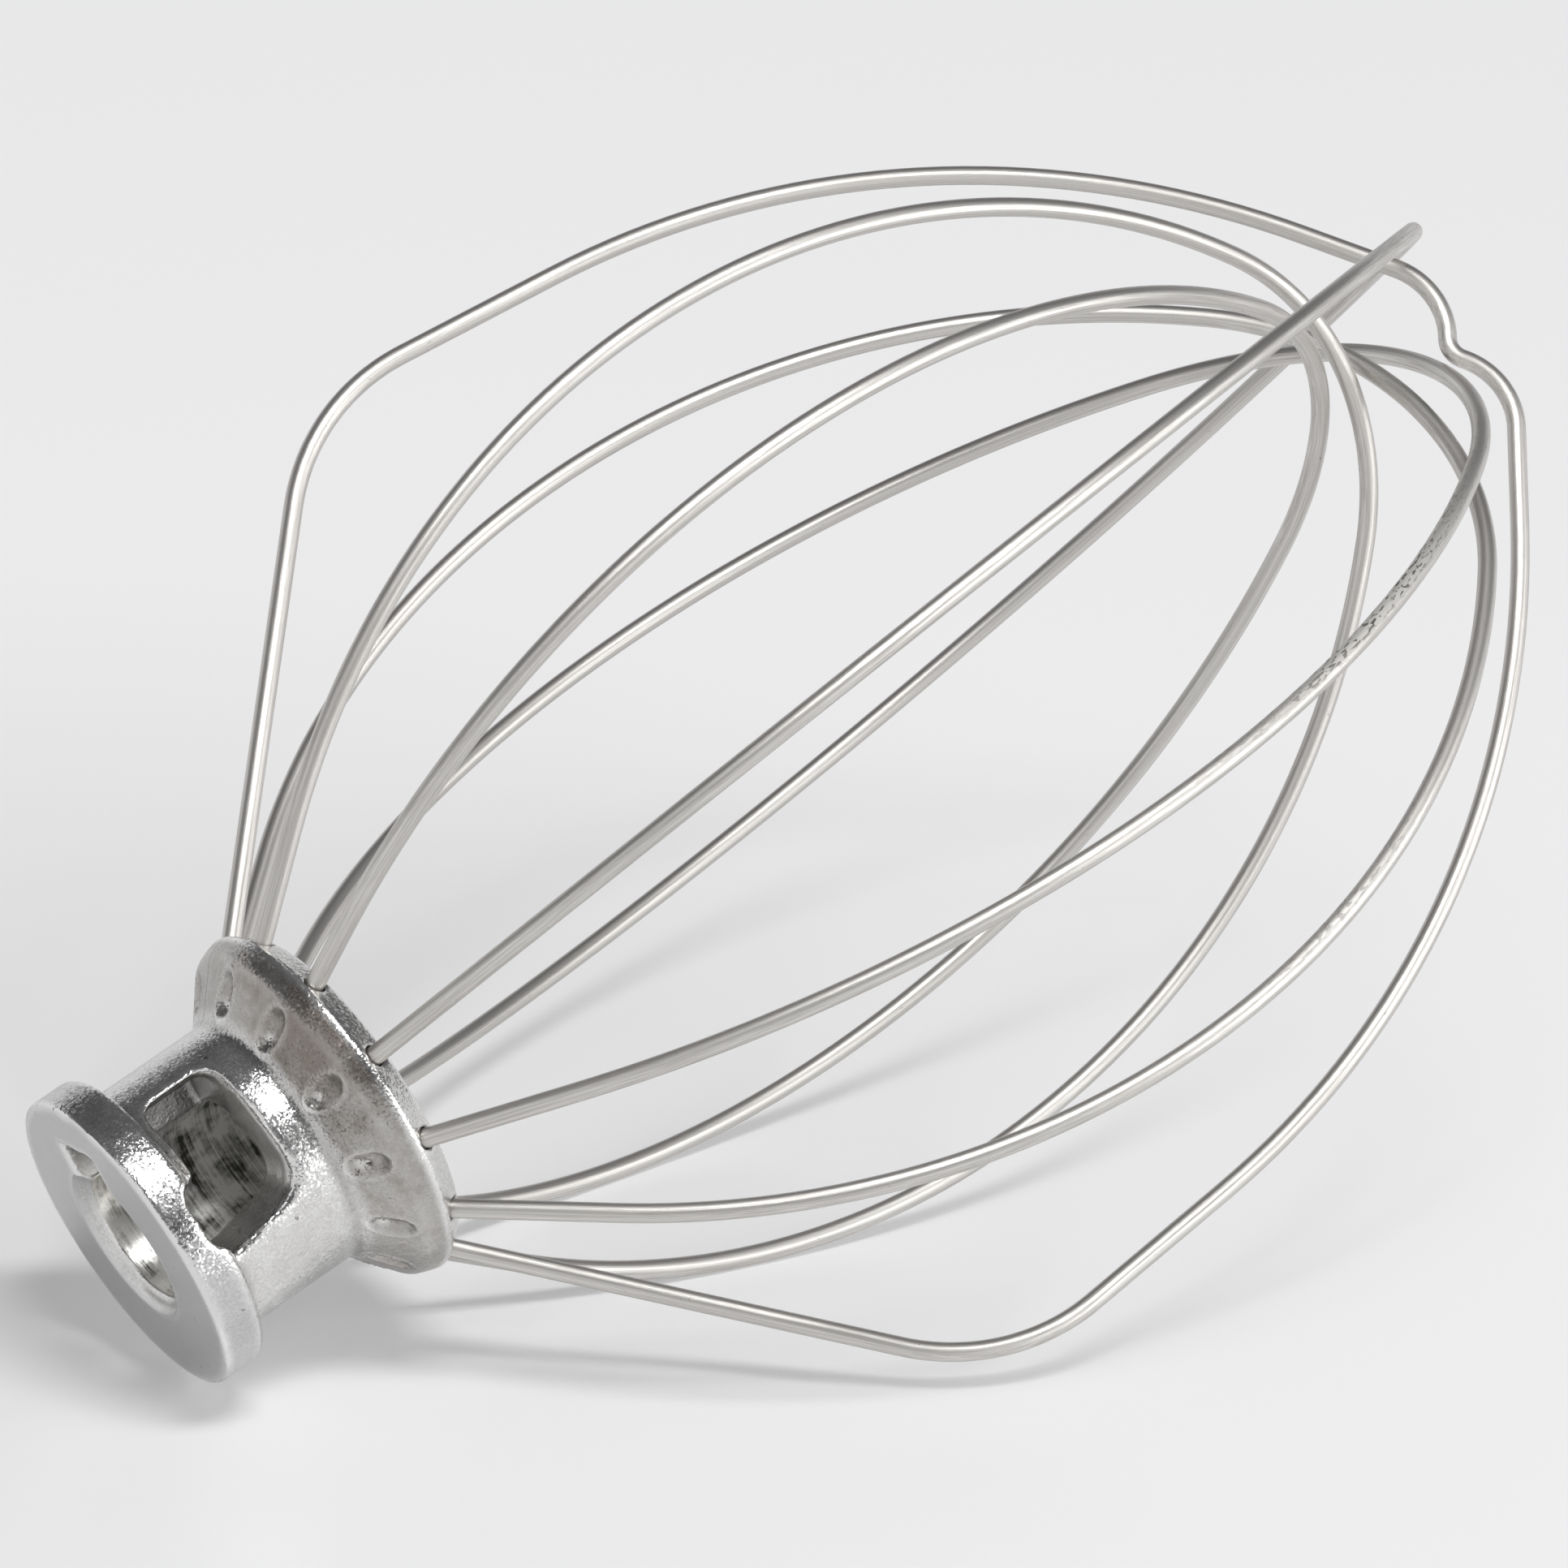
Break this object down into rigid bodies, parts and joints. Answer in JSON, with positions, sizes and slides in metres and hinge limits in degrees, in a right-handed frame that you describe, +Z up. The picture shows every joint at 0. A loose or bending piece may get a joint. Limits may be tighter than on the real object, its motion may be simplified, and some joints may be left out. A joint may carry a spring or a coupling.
{
  "type": "stand mixer wire whisk",
  "caption": "Balloon wire whip for a tilt-head stand mixer: a cast hub with a bayonet bore for the drive shaft, and nested wire loops that beat air into cream or egg white.",
  "frame": {"origin": "on the table, under the middle of the whisk's bounding box", "axes": "+Z up from the table, +X along the table from the hub to the loops' tips; it lies on the flange's edge and on two loops, as it comes to rest"},
  "size_m": [0.1556, 0.0966, 0.0943],
  "materials": {
    "hub": "burnished casting",
    "wire": "drawn wire"
  },
  "bodies": {
    "root": {"hub": "hub", "wire_loop_1": "wire", "wire_loop_2": "wire", "wire_loop_3": "wire", "wire_loop_4": "wire", "wire_loop_5": "wire", "wire_loop_6": "wire"}
  },
  "joints": []
}
